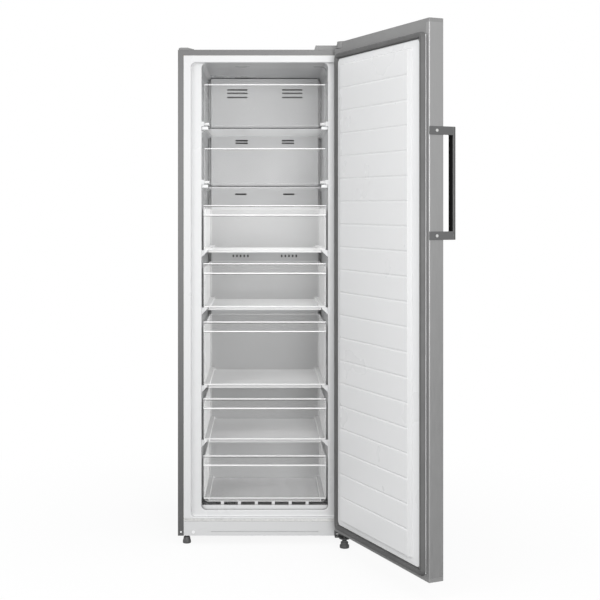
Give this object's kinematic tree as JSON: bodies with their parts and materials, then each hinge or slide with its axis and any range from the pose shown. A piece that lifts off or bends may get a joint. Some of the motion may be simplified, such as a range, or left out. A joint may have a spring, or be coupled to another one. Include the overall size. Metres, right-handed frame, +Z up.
{
  "type": "upright freezer",
  "caption": "Free-standing upright freezer with an insulated hinged door, glass shelves behind clear flaps, clear pull-out drawers and a rear machine space.",
  "frame": {"origin": "on the floor, under the middle of the cabinet's front edge", "axes": "+X to the viewer's right when facing the door side, +Y into the cabinet towards its back, +Z up"},
  "size_m": [0.8615, 1.1545, 1.714],
  "materials": {
    "shell_steel": "satin",
    "door_steel": "satin",
    "zinc_steel": "satin",
    "dark_steel": "satin",
    "handle_steel": "satin",
    "black_enamel": "gloss",
    "white_liner": "gloss",
    "white_plastic": "satin",
    "duct_plastic": "satin",
    "grey_plastic": "matte",
    "dark_plastic": "matte",
    "gasket_grey": "matte",
    "rubber": "matte",
    "foam": "matte",
    "clear_plastic": "gloss",
    "shelf_glass": "gloss",
    "aluminium_tube": "satin",
    "aluminium_fins": "satin",
    "heater_tube": "gloss",
    "copper": "satin",
    "dark_tube": "satin",
    "circuit_board": "matte"
  },
  "bodies": {
    "cabinet": {"cabinet_shell": "shell_steel", "back_panel": "shell_steel", "insulation_foam": "foam", "inner_liner": "white_liner", "base_pan": "zinc_steel", "plinth_panel": "grey_plastic", "plinth_screws": "white_plastic", "air_duct_cover": "duct_plastic", "evaporator_coil": "aluminium_tube", "evaporator_fins": "aluminium_fins", "fan_motor": "dark_plastic", "defrost_heater": "heater_tube", "drain_tube": "white_plastic", "compressor": "black_enamel", "compressor_grommets": "rubber", "start_relay": "dark_plastic", "refrigerant_pipes": "copper", "filter_drier": "copper", "drip_tray": "dark_plastic", "condenser_tubes": "dark_tube", "control_board": "circuit_board", "control_box": "grey_plastic", "cord_gland": "rubber", "top_hinge_plate": "zinc_steel", "bottom_hinge_bracket": "dark_steel", "hinge_pins": "zinc_steel", "hinge_screws": "zinc_steel", "top_hinge_cover": "grey_plastic", "hinge_blank_cover": "grey_plastic", "upper_shelf": "shelf_glass", "lower_shelf": "shelf_glass", "shelf_clips": "white_plastic", "roller_axles": "zinc_steel"},
    "door": {"door_skin": "door_steel", "door_foam": "foam", "door_liner": "white_liner", "door_gasket": "gasket_grey", "door_top_cap": "grey_plastic", "door_bottom_cap": "grey_plastic", "handle_bar": "handle_steel", "handle_upper_bracket": "dark_steel", "handle_lower_bracket": "dark_steel", "handle_screws": "zinc_steel"},
    "fan": {"fan_rotor": "dark_plastic"},
    "upper_flap": {"upper_flap": "clear_plastic"},
    "lower_flap": {"lower_flap": "clear_plastic"},
    "left_foot": {"left_foot": "dark_plastic"},
    "right_foot": {"right_foot": "dark_plastic"},
    "left_roller": {"left_roller": "dark_plastic"},
    "right_roller": {"right_roller": "dark_plastic"},
    "drawer_1": {"drawer_1_front": "clear_plastic", "drawer_1_basket": "clear_plastic"},
    "drawer_2": {"drawer_2_front": "clear_plastic", "drawer_2_basket": "clear_plastic"},
    "drawer_3": {"drawer_3_front": "clear_plastic", "drawer_3_basket": "clear_plastic"},
    "drawer_4": {"drawer_4_front": "clear_plastic", "drawer_4_basket": "clear_plastic"},
    "drawer_5": {"drawer_5_front": "clear_plastic", "drawer_5_basket": "clear_plastic"}
  },
  "joints": [
    {"name": "door_hinge", "type": "hinge", "parent": "cabinet", "child": "door", "pos_m": [0.27, -0.0385, 0], "axis": [0, 0, 1], "range_deg": [-114.3, 16]},
    {"name": "drawer_1_slide", "type": "slide", "parent": "cabinet", "child": "drawer_1", "axis": [0, -1, 0], "range_m": [0, 0.35]},
    {"name": "drawer_2_slide", "type": "slide", "parent": "cabinet", "child": "drawer_2", "axis": [0, -1, 0], "range_m": [0, 0.35]},
    {"name": "drawer_3_slide", "type": "slide", "parent": "cabinet", "child": "drawer_3", "axis": [0, -1, 0], "range_m": [0, 0.35]},
    {"name": "drawer_4_slide", "type": "slide", "parent": "cabinet", "child": "drawer_4", "axis": [0, -1, 0], "range_m": [0, 0.35]},
    {"name": "drawer_5_slide", "type": "slide", "parent": "cabinet", "child": "drawer_5", "axis": [0, -1, 0], "range_m": [0, 0.35]},
    {"name": "upper_flap_hinge", "type": "hinge", "parent": "cabinet", "child": "upper_flap", "pos_m": [0, 0.021, 1.44], "axis": [1, 0, 0], "range_deg": [0, 90]},
    {"name": "lower_flap_hinge", "type": "hinge", "parent": "cabinet", "child": "lower_flap", "pos_m": [0, 0.021, 1.24], "axis": [1, 0, 0], "range_deg": [0, 90]},
    {"name": "fan_spin", "type": "hinge", "parent": "cabinet", "child": "fan", "pos_m": [0, 0.49625, 0.966], "axis": [0, -1, 0], "continuous": true},
    {"name": "left_foot_turn", "type": "hinge", "parent": "cabinet", "child": "left_foot", "pos_m": [-0.268, 0.02, 0], "axis": [0, 0, 1], "continuous": true},
    {"name": "right_foot_turn", "type": "hinge", "parent": "cabinet", "child": "right_foot", "pos_m": [0.27, -0.0385, 0], "axis": [0, 0, 1], "continuous": true},
    {"name": "left_roller_spin", "type": "hinge", "parent": "cabinet", "child": "left_roller", "pos_m": [-0.25, 0.548, 0.015], "axis": [1, 0, 0], "continuous": true},
    {"name": "right_roller_spin", "type": "hinge", "parent": "cabinet", "child": "right_roller", "pos_m": [0.25, 0.548, 0.015], "axis": [1, 0, 0], "continuous": true}
  ]
}
